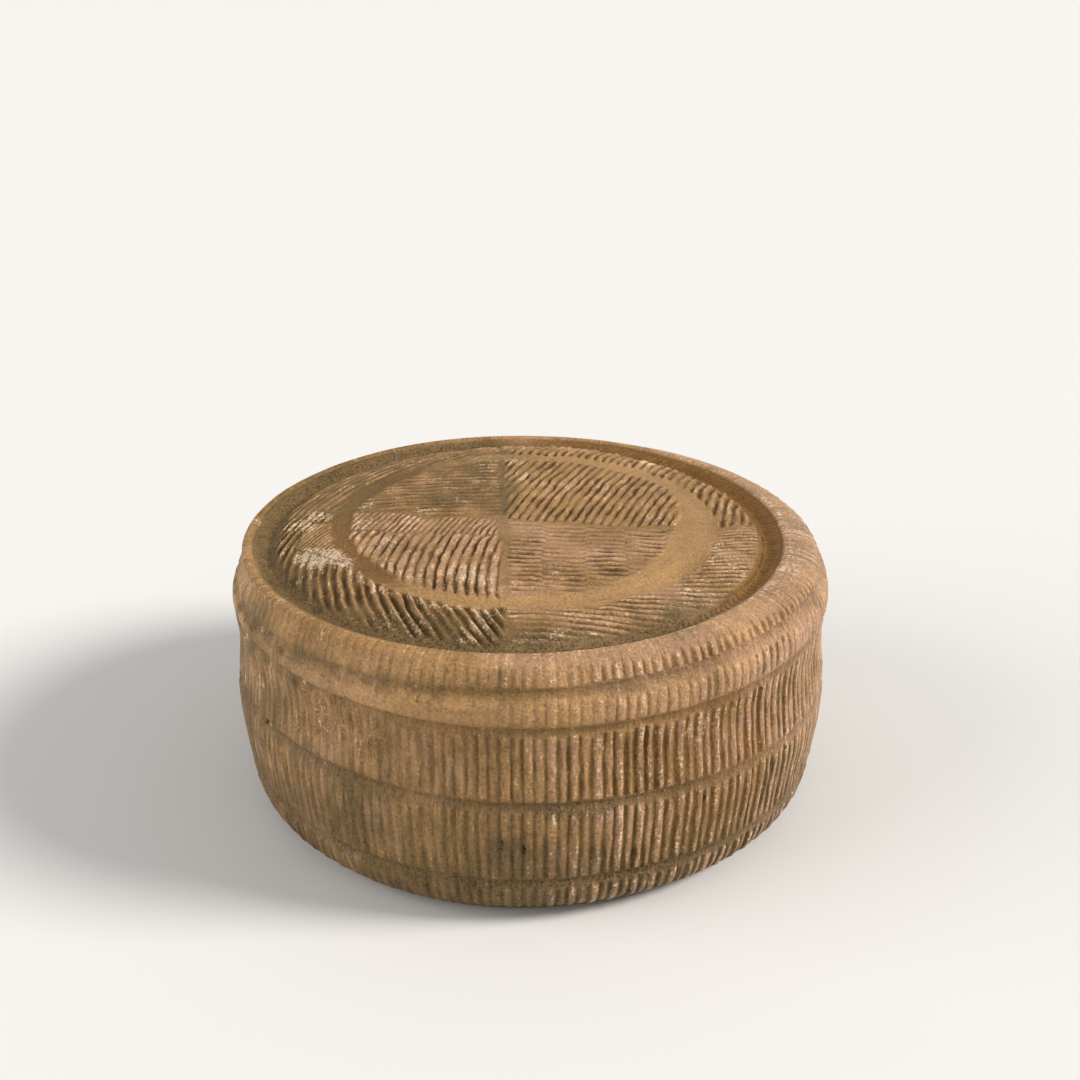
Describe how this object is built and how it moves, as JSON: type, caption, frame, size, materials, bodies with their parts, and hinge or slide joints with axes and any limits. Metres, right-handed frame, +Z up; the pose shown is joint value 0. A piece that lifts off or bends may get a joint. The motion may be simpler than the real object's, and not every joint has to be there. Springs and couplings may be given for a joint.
{
  "type": "aged sheep cheese wheel",
  "caption": "Whole wheel of aged sheep cheese with a basket-pressed rind: ribbed side bands, raised rim and a combed, low domed top.",
  "frame": {"origin": "middle of the flat base that the wheel stands on", "axes": "+Z up out of the base, -Y towards the viewer's side, +X to the right of that side"},
  "size_m": [0.2704, 0.269, 0.1252],
  "materials": {
    "rind": "dry, oiled, ribbed cheese rind, matt with a faint waxy sheen"
  },
  "bodies": {
    "root": {"cheese_wheel": "rind"}
  },
  "joints": []
}
